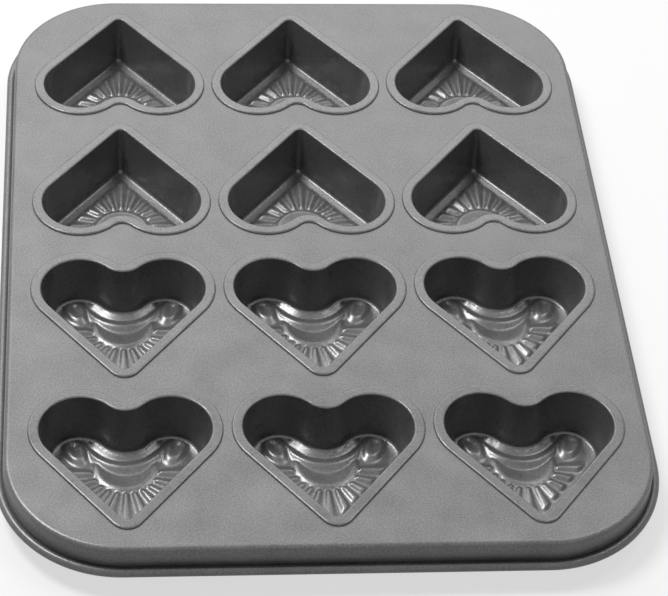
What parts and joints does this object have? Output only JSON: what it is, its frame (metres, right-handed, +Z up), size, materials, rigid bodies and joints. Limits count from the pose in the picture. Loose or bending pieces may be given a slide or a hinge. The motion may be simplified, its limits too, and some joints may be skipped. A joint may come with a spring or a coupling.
{
  "type": "muffin pan",
  "caption": "Rectangular non-stick baking pan with rounded corners, a wired rolled rim and set-in heart-shaped cups with patterned floors.",
  "frame": {"origin": "bottom centre of the pan, on the plane of the cup undersides", "axes": "+X across the three columns, +Y along the four rows away from the picture's viewer, +Z up out of the cups"},
  "size_m": [0.271, 0.34, 0.023],
  "materials": {
    "nonstick_plate": "satin grey non-stick coat on sheet steel",
    "nonstick_cup": "satin grey non-stick coat on sheet steel",
    "rim_steel": "drawn wire"
  },
  "bodies": {
    "root": {"tray_plate": "nonstick_plate", "rim_wire": "rim_steel", "heart_cup_r1c1": "nonstick_cup", "heart_cup_r1c2": "nonstick_cup", "heart_cup_r1c3": "nonstick_cup", "heart_cup_r2c1": "nonstick_cup", "heart_cup_r2c2": "nonstick_cup", "heart_cup_r2c3": "nonstick_cup", "heart_cup_r3c1": "nonstick_cup", "heart_cup_r3c2": "nonstick_cup", "heart_cup_r3c3": "nonstick_cup", "heart_cup_r4c1": "nonstick_cup", "heart_cup_r4c2": "nonstick_cup", "heart_cup_r4c3": "nonstick_cup"}
  },
  "joints": []
}
